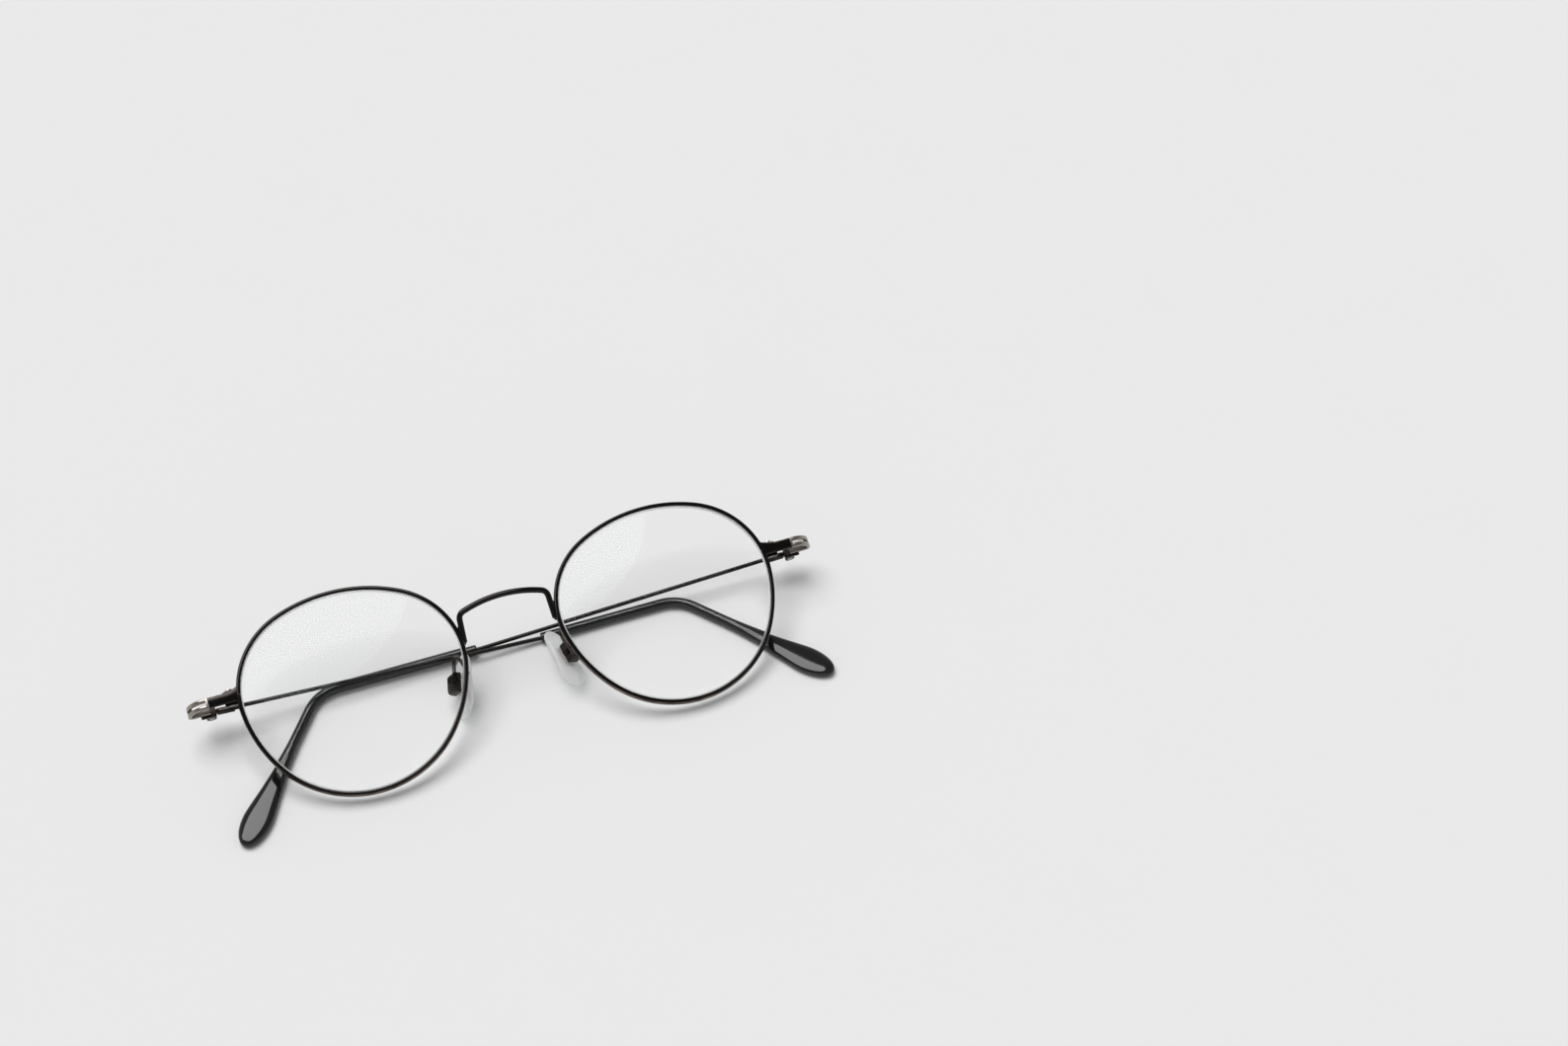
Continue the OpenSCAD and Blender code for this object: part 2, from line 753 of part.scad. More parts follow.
function pad_outline() =
    let (
        low_r = pad_w / 2,
        high_r = pad_w * 0.37,
        low = low_r - pad_len / 2,
        high = pad_len / 2 - high_r,
        lean = asin((low_r - high_r) / (high - low))
    )
    concat(
        [for (i = [0 : 14]) let (a = lean + (180 - 2 * lean) * i / 14) [high_r * cos(a), high + high_r * sin(a)]],
        [for (i = [0 : 18]) let (a = 180 - lean + (180 + 2 * lean) * i / 18) [low_r * cos(a), low + low_r * sin(a)]]
    );

module nose_pad(side) {
    end_t = 0.9;
    dome = pow(pad_len / 2, 2) / (pad_t - end_t);
    color("#e4e6e4", 0.55)
        pad_place(side)
            translate([-pad_reach, 0, 0])
                difference() {
                    intersection() {
                        rotate([0, 90, 0])
                            translate([0, 0, -pad_t / 2 - 0.5])
                                linear_extrude(height = pad_t + 1)
                                    polygon(pad_outline());
                        translate([dome - pad_t / 2, 0, 0]) sphere(r = dome, $fn = 240);
                        translate([pad_t / 2 - dome, 0, 0]) sphere(r = dome, $fn = 240);
                    }
                    translate([pad_reach, 0, 0]) pad_tab(pad_fit);
                }
}

bridge();
rim(-1);  // rim_left
rim(1);  // rim_right
lens(-1);  // lens_left
lens(1);  // lens_right
end_piece(-1);  // end_piece_left
end_piece(1);  // end_piece_right
rim_lock_upper(-1);  // rim_lock_upper_left
rim_lock_upper(1);  // rim_lock_upper_right
rim_lock_lower(-1);  // rim_lock_lower_left
rim_lock_lower(1);  // rim_lock_lower_right
rim_lock_screw(-1);  // rim_lock_screw_left
rim_lock_screw(1);  // rim_lock_screw_right
corner_loop(-1);  // corner_loop_left
corner_loop(1);  // corner_loop_right
hinge_front(-1);  // hinge_front_left
hinge_front(1);  // hinge_front_right
hinge_screw(-1);  // hinge_screw_left
hinge_screw(1);  // hinge_screw_right
hinge_rear(-1);  // hinge_rear_left
hinge_rear(1);  // hinge_rear_right
hinge_washers(-1);  // hinge_washers_left
hinge_washers(1);  // hinge_washers_right
temple_wire(-1);  // temple_wire_left
temple_wire(1);  // temple_wire_right
temple_tip(-1);  // temple_tip_left
temple_tip(1);  // temple_tip_right
pad_arm(-1);  // pad_arm_left
pad_arm(1);  // pad_arm_right
pad_box(-1);  // pad_box_left
pad_box(1);  // pad_box_right
pad_screw(-1);  // pad_screw_left
pad_screw(1);  // pad_screw_right
pad_core(-1);  // pad_core_left
pad_core(1);  // pad_core_right
nose_pad(-1);  // nose_pad_left
nose_pad(1);  // nose_pad_right
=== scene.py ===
"""Round metal eyeglasses, folded and lying on a table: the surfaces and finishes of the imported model.

Lengths in the formulas are in millimetres, and each mesh is made in metres.
In the glasses' own frame X runs along the width, Y up the lenses and Z out of their fronts.
In the table's frame Z is up. Left is -X and right is +X.
"""

import math

import bpy
import numpy as np
from bpy.props import FloatProperty, FloatVectorProperty, PointerProperty
from bpy.types import Operator, Panel, PropertyGroup
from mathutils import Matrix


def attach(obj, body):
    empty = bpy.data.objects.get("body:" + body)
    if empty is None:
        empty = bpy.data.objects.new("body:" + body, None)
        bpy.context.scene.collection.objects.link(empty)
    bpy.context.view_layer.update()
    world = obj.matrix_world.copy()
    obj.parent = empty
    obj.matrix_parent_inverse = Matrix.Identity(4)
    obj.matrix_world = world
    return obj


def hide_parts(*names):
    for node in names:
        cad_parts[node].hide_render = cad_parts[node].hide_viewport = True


bl_info = {
    "name": "Round metal eyeglasses",
    "version": (1, 0, 0),
    "blender": (4, 5, 0),
    "location": "View3D > Sidebar > Eyeglasses",
    "description": "Makes the surfaces, finishes and stage of a folded pair of round metal eyeglasses",
    "category": "Add Mesh",
}

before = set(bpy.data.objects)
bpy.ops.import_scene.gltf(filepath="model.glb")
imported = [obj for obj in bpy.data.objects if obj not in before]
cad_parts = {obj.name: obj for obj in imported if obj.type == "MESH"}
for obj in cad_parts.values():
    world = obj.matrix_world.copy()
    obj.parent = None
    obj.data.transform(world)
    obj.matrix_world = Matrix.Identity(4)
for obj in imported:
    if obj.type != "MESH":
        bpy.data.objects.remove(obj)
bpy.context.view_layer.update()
MM = 0.001
SIDES = (("left", -1), ("right", 1))

# How the front lies on the table
FRONT_TILT, LENS_H, CENTRE_Y = 20.85, 10.5, 1.9
# Lenses and rims
LENS_PITCH, RIM_A, RIM_B = 69.0, 47.54, 44.41
RIM_TURN, RIM_WRAP, RIM_DROP = 4.0, 2.0, 0.62
TOP_R, CORNER_R, SIDE_R, SIDE_TURN = 32.4, 17.9, 30.7, 8.6
RIM_D, GROOVE, LENS_T, LENS_R = 1.6, 0.45, 1.8, 130.0
RIM_SPLIT, LENS_PLAY, LENS_FACE_IN, BEVEL_PLAY = 0.2, 0.02, 0.27, 0.12
# End plates, straps and hinges
EDGE_X, PLATE_LEN, PLATE_ROOT, PLATE_END, PLATE_T, END_Y = 58.307, 6.0, 3.6, 2.3, 1.1, 5.4
STRAP_H, STRAP_T, STRAP_R, STRAP_SMALL, SLOT_H = 2.4, 0.8, 3.6, 0.7, 0.5
PLATE_CUT, WEB_CUT, PRONG_CUT, WEB_LEN, SLOT_START = 0.46, 0.26, 0.36, 0.42, 0.4
PLATE_X = EDGE_X + PLATE_LEN
PLATE_Z = (LENS_PITCH / 2 - EDGE_X) * math.tan(math.radians(RIM_WRAP)) + (RIM_D - PLATE_T) / 2
HINGE_X, HINGE_Y = PLATE_X + 0.2, END_Y - 0.3
HINGE_Z = PLATE_Z - STRAP_R - STRAP_SMALL - STRAP_T / 2 - 1.71
# Temples: how each lies folded, by side
WIRE_RUN, BEND_R, SLEEVE_D, FLAT_CUT, TIP_ROUND, WIRE_STOP = 71.5, 9.0, 2.3, 0.12, 2.0, 9.0
TEMPLE = {
    -1: dict(lean=-0.82, reach=31.3, bend=49.2, arm=39.4),
    1: dict(lean=0.82, reach=35.0, bend=55.4, arm=39.4),
}
# Bridge
BRIDGE_HALF, BRIDGE_RISE, BRIDGE_ARCH, BRIDGE_CORNER = 9.753, 6.3, 27.0, 1.7
BRIDGE_LEAN, BRIDGE_Y, BRIDGE_Z = 18.0, 4.5, 0.847
GUSSET_OUT, GUSSET_UP, GUSSET_W, GUSSET_H, GUSSET_T = 0.36, 0.1, 0.74, 2.3, 0.48
# Nose pads
PAD_LEN, PAD_REACH, PAD_TILT = 14.8, 2.4, 15.0
PAD_SCREW = {-1: (14.303, -4.2, -3.6), 1: (11.303, -4.2, -3.3)}
PAD_SPLAY = {-1: 28.0, 1: 50.0}
PAD_UPPER, PAD_ROUND, PAD_CROWN = 0.37, 0.62, 84.0
ARM_FOOT = (11.27, -3.4)
# Stage, in metres and degrees
FLOOR_HALF, KEY_TURN = 30.0, (-20.0, -10.0)
CAMERA_AT, CAMERA_TURN = (-0.04685, -0.30153, 0.41570), (39.571, -19.562)
ROOM_LEVELS = ((0.0, 0.822), (0.12, 0.82), (0.35, 0.55), (0.6, 0.3), (1.0, 0.2))
# A noise between these values fills a finish's whole range
NOISE_LOW, NOISE_HIGH = 0.3, 0.7


class GlassesSizes(PropertyGroup):
    """Sizes of the surfaces that a user may change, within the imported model."""

    rim_width: FloatProperty(
        name="Rim width", description="Width of the rim wire from the front", default=0.95 * MM, unit="LENGTH"
    )
    wire_diameter: FloatProperty(
        name="Temple wire", description="Diameter of the temple wire", default=0.9 * MM, unit="LENGTH"
    )
    tip_width: FloatProperty(
        name="Tip width", description="Greatest width of a temple tip", default=6.4 * MM, unit="LENGTH"
    )
    tip_thickness: FloatProperty(
        name="Tip thickness", description="Thickness of a temple tip", default=2.05 * MM, unit="LENGTH"
    )
    bridge_diameter: FloatProperty(
        name="Bridge wire", description="Diameter of the bridge wire", default=1.3 * MM, unit="LENGTH"
    )
    pad_width: FloatProperty(
        name="Nose pad width", description="Width of a nose pad near its lower end", default=6.6 * MM, unit="LENGTH"
    )
    pad_thickness: FloatProperty(
        name="Nose pad thickness", description="Thickness of a nose pad", default=2.2 * MM, unit="LENGTH"
    )
    arm_diameter: FloatProperty(
        name="Pad arm wire", description="Diameter of a pad arm's wire", default=0.8 * MM, unit="LENGTH"
    )


def colour(name, description, value):
    return FloatVectorProperty(
        name=name, description=description, default=value, subtype="COLOR", size=3, min=0.0, max=1.0
    )


class GlassesColours(PropertyGroup):
    """Colours of the finishes and of the floor."""

    frame_black: colour("Frame", "Black plating of the rims, bridge and end plates", (0.027, 0.025, 0.024))
    # Warm metal of worn plating; the frame also uses it to paint highlights along rim and plate edges
    frame_warm: colour("Frame edge", "Warm metal that shows where the plating is thin", (0.20, 0.155, 0.13))
    strap: colour("Strap", "Warm silver of the corner straps", (0.32, 0.29, 0.26))
    steel: colour("Steel", "Screws, washers and the pads' cores", (0.58, 0.55, 0.52))
    tip: colour("Tip", "Black acetate of the tips", (0.005, 0.005, 0.0055))
    glass: colour("Lens", "Tint of the lenses", (0.998, 1.0, 0.999))
    silicone: colour("Nose pad", "Clear silicone of the nose pads", (0.95, 0.96, 0.955))
    floor: colour("Floor", "Pale floor", (0.823, 0.823, 0.823))


class StageSettings(PropertyGroup):
    """Light and camera."""

    sun_strength: FloatProperty(name="Key light", description="Strength of the soft key light", default=2.233)
    sun_angle: FloatProperty(
        name="Key size", description="Angle that the key light fills", default=math.radians(46), subtype="ANGLE"
    )
    focal_length: FloatProperty(name="Focal length", description="The camera's lens", default=54.41, unit="CAMERA")


def turned(points, axis, degrees):
    """Points turned about an axis through the origin, by the right-hand rule."""
    a = math.radians(degrees)
    i, j = {"x": (1, 2), "y": (2, 0), "z": (0, 1)}[axis]
    out = np.array(points, float)
    out[..., i] = points[..., i] * math.cos(a) - points[..., j] * math.sin(a)
    out[..., j] = points[..., i] * math.sin(a) + points[..., j] * math.cos(a)
    return out


def on_table(points, side=1):
    """Points of the glasses' frame in the table's: mirrored for the left, tilted back and lifted."""
    return turned(points * np.array((side, 1, 1)), "x", FRONT_TILT) + (0, CENTRE_Y, LENS_H)


def in_rim(points):
    """Points of a rim's own plane in the glasses' frame: turned, dropped, wrapped and moved out."""
    placed = turned(points, "z", RIM_TURN) + (0, -RIM_DROP, 0)
    return turned(placed, "y", RIM_WRAP) + (LENS_PITCH / 2, 0, 0)


def at_pad(points, side):
    """Points about a nose pad's screw in the glasses' frame: tilted, splayed and moved. The two pads
    are bent and turned a little differently."""
    return turned(turned(points, "z", PAD_TILT), "y", -PAD_SPLAY[side]) + PAD_SCREW[side]


def unit(v):
    return v / np.linalg.norm(v, axis=-1, keepdims=True)


def flat(x, y, z):
    """Three arrays that broadcast together, as points."""
    return np.stack(np.broadcast_arrays(x, y, z), -1).astype(float)


def rounded(corners, cut, steps=5):
    """A closed outline through a polygon's corners. Each corner becomes a curve that starts and
    ends a distance cut from it and touches both edges: p + cut ((1-t)^2 a + t^2 b)."""
    p = np.array(corners, float)
    a, b = unit(np.roll(p, 1, 0) - p)[:, None], unit(np.roll(p, -1, 0) - p)[:, None]
    t = np.linspace(0, 1, steps)[None, :, None]
    cut = np.broadcast_to(cut, len(p))[:, None, None]
    return (p[:, None] + cut * ((1 - t) ** 2 * a + t**2 * b)).reshape(-1, 2)


def bar(width, height, cut, steps=5):
    """Outline of a bar's section: a rectangle with rounded corners."""
    w, h = width / 2, height / 2
    return rounded([(w, -h), (w, h), (-w, h), (-w, -h)], cut, steps)


def ring(diameter, around=24):
    """Circle of points."""
    a = np.linspace(0, 2 * np.pi, around, endpoint=False)
    return diameter / 2 * np.stack([np.cos(a), np.sin(a)], -1)


def carried(path, across, up, profile, size=1.0):
    """A profile carried along a path: path + size (across * profile x + up * profile y)."""
    profile = np.broadcast_to(profile, (len(path),) + np.shape(profile)[-2:])
    size = np.broadcast_to(size, len(path))[:, None, None]
    return path[:, None] + size * (across[:, None] * profile[..., :1] + up[:, None] * profile[..., 1:])


def stations(length, step, ease):
    """Distances along a path, closer near its ends, and the size at each. Over a distance ease from
    an end the size follows a quarter circle, which rounds that end."""
    a = np.linspace(0.12, np.pi / 2, 6)[:-1]
    near, size = ease * (1 - np.cos(a)), np.sin(a)
    middle = np.linspace(ease, length - ease, max(2, int(length / step)))
    return (
        np.concatenate([near, middle, length - near[::-1]]),
        np.concatenate([size, np.ones(len(middle)), size[::-1]]),
    )


def resampled(path, places=None, count=None):
    """Points at given distances along a dense path, or count points evenly along it."""
    s = np.concatenate([[0], np.cumsum(np.linalg.norm(np.diff(path, axis=0), axis=1))])
    places = np.linspace(0, s[-1], count) if places is None else places
    return np.stack([np.interp(places, s, path[:, k]) for k in range(3)], -1)


def length_of(path):
    return np.linalg.norm(np.diff(path, axis=0), axis=1).sum()


def wire(path, diameter, step, ease, around=24):
    """A round wire along a path, with its two ends rounded."""
    places, size = stations(length_of(path), step, ease)
    line = resampled(path, places)
    along = unit(np.gradient(line, axis=0))
    across = unit(np.cross(along, (0.0123, 0.021, 1.0)))
    return skin(carried(line, across, np.cross(across, along), ring(diameter, around), size))


def skin(grid):
    """A closed shell over a grid of points: quads join neighbours, round each row and from row to
    row, and a fan from the row's middle closes each end. UVs are metres along and a share around."""
    rows, cols = grid.shape[:2]
    r, c = np.meshgrid(np.arange(rows - 1), np.arange(cols), indexing="ij")
    nr, nc = r + 1, (c + 1) % cols
    quads = np.stack([r * cols + c, r * cols + nc, nr * cols + nc, nr * cols + c], -1).reshape(-1, 4)
    middles = grid.mean(1)
    along = np.concatenate([[0], np.cumsum(np.linalg.norm(np.diff(middles, axis=0), axis=1))]) * MM
    u = np.stack([along[r], along[r], along[nr], along[nr]], -1).reshape(-1, 4)
    v = np.stack([c, c + 1, c + 1, c], -1).reshape(-1, 4) / cols
    k = np.arange(cols)
    first = np.stack([(k + 1) % cols, k, np.full(cols, rows * cols)], -1)
    last = np.stack([k, (k + 1) % cols, np.full(cols, rows * cols + 1)], -1)
    last[:, :2] += (rows - 1) * cols
    fan = np.stack([k, k + 1, k + 0.5], -1) / cols
    ends = [np.stack([np.full_like(fan, end), fan], -1) for end in (0.0, along[-1])]
    points = np.concatenate([grid.reshape(-1, 3), middles[:1], middles[-1:]])
    faces = [quads, np.concatenate([first, last])]
    uvs = [np.stack([u, v], -1), np.concatenate(ends)]
    # The signed volume is negative where the faces point inwards
    corner = points[np.concatenate([quads[:, :3], quads[:, [0, 2, 3]], faces[1]])]
    if np.einsum("ij,ij->", corner[:, 0], np.cross(corner[:, 1], corner[:, 2])) < 0:
        faces, uvs = [f[:, ::-1] for f in faces], [w[:, ::-1] for w in uvs]
    return dict(points=points, faces=faces, uvs=uvs, material=0)


def build(name, shells, body, nodes, materials, sharp=38, edge=None):
    """One mesh piece from closed shells, that rides on a body and stands for CAD nodes."""
    points = np.concatenate([s["points"] for s in shells]) * MM
    corners, sizes, uvs, index, first = [], [], [], [], 0
    for s in shells:
        for f, w in zip(s["faces"], s["uvs"]):
            corners.append((f + first).ravel())
            sizes.append(np.full(len(f), f.shape[1]))
            uvs.append(w.reshape(-1, 2))
            index.append(np.resize(s["material"], len(f)))
        first += len(s["points"])
    corners, sizes = np.concatenate(corners), np.concatenate(sizes)
    mesh = bpy.data.meshes.new(name)
    mesh.vertices.add(len(points))
    mesh.vertices.foreach_set("co", points.astype(np.float32).ravel())
    mesh.loops.add(len(corners))
    mesh.loops.foreach_set("vertex_index", corners.astype(np.int32))
    mesh.polygons.add(len(sizes))
    mesh.polygons.foreach_set("loop_start", (np.cumsum(sizes) - sizes).astype(np.int32))
    mesh.polygons.foreach_set("material_index", np.concatenate(index).astype(np.int32))
    mesh.uv_layers.new(name="Length").data.foreach_set("uv", np.concatenate(uvs).astype(np.float32).ravel())
    # edge: a share of warm metal per point, for worn plating and for painted highlights on rim and plate edges
    if edge is not None:
        mesh.attributes.new("edge", "FLOAT", "POINT").data.foreach_set("value", edge.astype(np.float32))
    mesh.update(calc_edges=True)
    mesh.validate()
    mesh.polygons.foreach_set("use_smooth", np.ones(len(sizes), bool))
    mesh.set_sharp_from_angle(angle=math.radians(sharp))
    for m in materials:
        mesh.materials.append(m)
    piece = bpy.data.objects.new(name, mesh)
    bpy.context.scene.collection.objects.link(piece)
    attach(piece, body)
    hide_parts(*nodes)
    return piece


class Nodes:
    """A material's node tree, with short calls for its nodes and links."""

    def __init__(self, name):
        self.material = bpy.data.materials.get(name)
        self.known = self.material is not None
        if not self.known:
            self.material = bpy.data.materials.new(name)
            self.material.use_nodes = True
            self.shader = self.material.node_tree.nodes["Principled BSDF"]

    def add(self, kind, inputs=None, **settings):
        node = self.material.node_tree.nodes.new("ShaderNode" + kind)
        for key, value in settings.items():
            setattr(node, key, value)
        for key, value in (inputs or {}).items():
            self.put(node.inputs[key], value)
        return node

    def put(self, socket, value):
        if isinstance(value, bpy.types.NodeSocket):
            self.material.node_tree.links.new(value, socket)
        else:
            socket.default_value = value

    def set(self, **values):
        for key, value in values.items():
            self.put(self.shader.inputs[key.replace("_", " ")], value)

    def noise(self, scale, detail=3.0, stretch=(1, 1, 1)):
        """Noise whose scale is in waves a metre, on the piece's own coordinates."""
        place = self.add("TexCoord").outputs["Object"]
        mapping = self.add("Mapping", {"Vector": place, "Scale": stretch})
        return self.add("TexNoise", {"Vector": mapping.outputs[0], "Scale": scale, "Detail": detail}).outputs["Fac"]

    def range(self, value, low, high):
        """A noise's value, spread from low to high."""
        ends = {"From Min": NOISE_LOW, "From Max": NOISE_HIGH, "To Min": low, "To Max": high}
        return self.add("MapRange", {"Value": value, **ends}).outputs[0]

    def mix(self, share, a, b):
        node = self.add("Mix", data_type="RGBA")
        self.put(node.inputs[0], share)
        self.put(node.inputs[6], a)
        self.put(node.inputs[7], b)
        return node.outputs[2]

    def bump(self, height, distance, strength):
        inputs = {"Height": height, "Distance": distance, "Strength": strength}
        return self.add("Bump", inputs).outputs[0]


def rgba(value, share=1.0):
    return tuple(x * share for x in value) + (1.0,)


def frame_black():
    """Black plating with a soft gloss and faint polishing marks. Warm metal mixed in by the edge attribute stands
    for worn plating and also paints highlights on the rims' outer edges and the end plates' upper edges.
    """
    n = Nodes("frame_black")
    if not n.known:
        c = bpy.context.scene.glasses_colours
        # Warm metal share from the edge attribute: worn plating, and painted highlights on the rims' outer edges
        # and the end plates' upper edges
        wear_and_highlight = n.add("Attribute", attribute_name="edge", attribute_type="GEOMETRY").outputs["Fac"]
        patches = n.range(n.noise(420, 4), 0.15, 1.0)
        share = n.add("Math", {0: wear_and_highlight, 1: patches}, operation="MULTIPLY").outputs[0]
        n.set(
            Base_Color=n.mix(share, rgba(c.frame_black), rgba(c.frame_warm)),
            Roughness=n.range(n.noise(1500, 3), 0.05, 0.09),
            Metallic=1.0,
            Normal=n.bump(n.noise(9000, 2), 0.000003, 0.2),
        )
    return n.material


def warm_strap():
    """Warm silver plating, brushed along its length."""
    n = Nodes("strap_silver")
    if not n.known:
        c = bpy.context.scene.glasses_colours
        brushed = n.noise(3200, 2, (0.25, 1.0, 1.0))
        n.set(
            Base_Color=n.mix(n.range(n.noise(700, 4), 0, 1), rgba(c.strap), rgba(c.strap, 0.9)),
            Roughness=n.range(brushed, 0.2, 0.26),
            Metallic=1.0,
            Normal=n.bump(brushed, 0.000002, 0.08),
        )
    return n.material


def dark_satin():
    """Dark satin plating of the hinges, pad boxes and pad arms."""
    n = Nodes("dark_satin")
    if not n.known:
        c = bpy.context.scene.glasses_colours
        n.set(
            Base_Color=n.mix(n.range(n.noise(900, 4), 0, 1), rgba(c.frame_black, 1.6), rgba(c.frame_warm, 0.2)),
            Roughness=n.range(n.noise(2400, 3), 0.2, 0.3),
            Metallic=1.0,
            Normal=n.bump(n.noise(12000, 2), 0.000006, 0.6),
        )
    return n.material


def bright_steel():
    """Turned steel of the screws, washers and the pads' cores."""
    n = Nodes("bright_steel")
    if not n.known:
        c = bpy.context.scene.glasses_colours
        n.set(
            Base_Color=n.mix(n.range(n.noise(1300, 3), 0, 1), rgba(c.steel), rgba(c.steel, 0.8)),
            Roughness=n.range(n.noise(5200, 3), 0.22, 0.36),
            Metallic=1.0,
            Normal=n.bump(n.noise(14000, 2), 0.000005, 0.5),
        )
    return n.material


def black_acetate():
    """Polished black acetate: deep gloss, the finest ripples and a few soft hazy patches."""
    n = Nodes("black_acetate")
    if not n.known:
        c = bpy.context.scene.glasses_colours
        n.set(
            Base_Color=n.mix(n.range(n.noise(260, 4), 0, 1), rgba(c.tip), rgba(c.tip, 1.7)),
            Roughness=n.range(n.noise(340, 4), 0.06, 0.1),
            IOR=1.5,
            Normal=n.bump(n.noise(400, 1), 0.000005, 0.02),
        )
    return n.material


def lamp_clear(n, tint):
    """Lets the light's rays pass straight, so that glass throws only a faint shadow."""
    tree = n.material.node_tree
    clear = n.add("BsdfTransparent", {"Color": tint})
    path = n.add("LightPath").outputs
    either = n.add("Math", {0: path["Is Shadow Ray"], 1: path["Is Diffuse Ray"]}, operation="MAXIMUM")
    mixed = n.add("MixShader", {0: either.outputs[0], 1: n.shader.outputs[0], 2: clear.outputs[0]})
    tree.links.new(mixed.outputs[0], tree.nodes["Material Output"].inputs["Surface"])


def lens_glass():
    """Clear polished lens."""
    n = Nodes("lens_glass")
    if not n.known:
        c = bpy.context.scene.glasses_colours
        n.set(
            Base_Color=n.mix(n.range(n.noise(60, 2), 0, 1), rgba(c.glass), rgba(c.glass, 0.995)),
            Roughness=0.0,
            IOR=1.5,
            Specular_Tint=(0.08, 0.09, 0.1, 1.0),
            Transmission_Weight=1.0,
        )
        lamp_clear(n, (0.994, 0.995, 0.995, 1.0))
    return n.material


def lens_edge():
    """Ground, frosted edge of a lens."""
    n = Nodes("lens_edge")
    if not n.known:
        n.set(
            Base_Color=n.mix(n.range(n.noise(2000, 3), 0, 1), (0.9, 0.91, 0.91, 1.0), (0.8, 0.82, 0.82, 1.0)),
            Roughness=0.5,
            IOR=1.5,
            Transmission_Weight=0.45,
            Normal=n.bump(n.noise(15000, 2), 0.000006, 0.8),
        )
    return n.material


def clear_silicone():
    """Soft clear silicone, a little milky inside and matt outside."""
    n = Nodes("clear_silicone")
    if not n.known:
        c = bpy.context.scene.glasses_colours
        n.set(
            Base_Color=n.mix(n.range(n.noise(500, 3), 0, 1), rgba(c.silicone), rgba(c.silicone, 0.95)),
            Roughness=0.3,
            IOR=1.41,
            Transmission_Weight=0.55,
            Subsurface_Weight=0.5,
            Normal=n.bump(n.noise(900, 2), 0.00002, 0.08),
        )
        n.shader.inputs["Subsurface Radius"].default_value = (0.002, 0.002, 0.002)
        n.shader.inputs["Subsurface Scale"].default_value = 1.0
        lamp_clear(n, (0.84, 0.85, 0.85, 1.0))
    return n.material


def pale_floor():
    """Matt paper floor."""
    n = Nodes("pale_floor")
    if not n.known:
        c = bpy.context.scene.glasses_colours
        n.set(
            Base_Color=n.mix(n.range(n.noise(40, 3), 0, 1), rgba(c.floor), rgba(c.floor, 0.997)),
            Roughness=0.9,
        )
        n.shader.inputs["Specular IOR Level"].default_value = 0.0
    return n.material


def arc(centre, radius, start, end, count=120):
    """Points and outward directions along an arc, from one angle to another."""
    t = np.radians(np.linspace(start, end, count, endpoint=False))
    out = np.stack([np.cos(t), np.sin(t)], -1)
    return np.array(centre) + radius * out, out


def rim_corner():
    """Centre of a rim's upper corner arc, which touches the top arc and the rim's greatest width."""
    x = RIM_A / 2 - CORNER_R
    return np.array((x, RIM_B / 2 - TOP_R + math.sqrt((TOP_R - CORNER_R) ** 2 - x * x)))


def rim_curve(count, gap=0.0):
    """Points and outward directions round a rim's middle line, evenly spaced, from its split at
    the end plate. Six arcs join smoothly: bottom, side, corner, top, corner and side."""
    corner, turn = rim_corner(), math.radians(SIDE_TURN)
    side = corner - (SIDE_R - CORNER_R) * np.array((math.cos(turn), -math.sin(turn)))
    k = side[1] + RIM_B / 2
    bottom_r = (SIDE_R**2 - side[0] ** 2 - k * k) / (2 * (SIDE_R - k))
    bottom, top = np.array((0, bottom_r - RIM_B / 2)), np.array((0, RIM_B / 2 - TOP_R))
    top_a = math.degrees(math.atan2(*(corner - top)[::-1]))
    low_a = math.degrees(math.atan2(*(bottom - side)[::-1]))
    flip = np.array((-1, 1))
    points, out = (
        np.concatenate(a)
        for a in zip(
            arc(bottom, bottom_r, -180 - low_a, low_a),
            arc(side, SIDE_R, low_a, -SIDE_TURN),
            arc(corner, CORNER_R, -SIDE_TURN, top_a),
            arc(top, TOP_R, top_a, 180 - top_a),
            arc(corner * flip, CORNER_R, 180 - top_a, 180 + SIDE_TURN),
            arc(side * flip, SIDE_R, 180 + SIDE_TURN, 180 - low_a),
        )
    )
    height = turned(flat(points[:, 0], points[:, 1], 0), "z", RIM_TURN)[:, 1] - RIM_DROP
    first = np.argmin(np.abs(height - END_Y) + 99 * (points[:, 0] < 0))
    points, out = np.roll(points, -first, 0), np.roll(out, -first, 0)
    points, out = np.concatenate([points, points[:1]]), np.concatenate([out, out[:1]])
    s = np.concatenate([[0], np.cumsum(np.linalg.norm(np.diff(points, axis=0), axis=1))])
    at = np.linspace(gap / 2, s[-1] - gap / 2, count, endpoint=gap > 0)
    pick = lambda v: np.stack([np.interp(at, s, v[:, i]) for i in (0, 1)], -1)
    return pick(points), unit(pick(out))


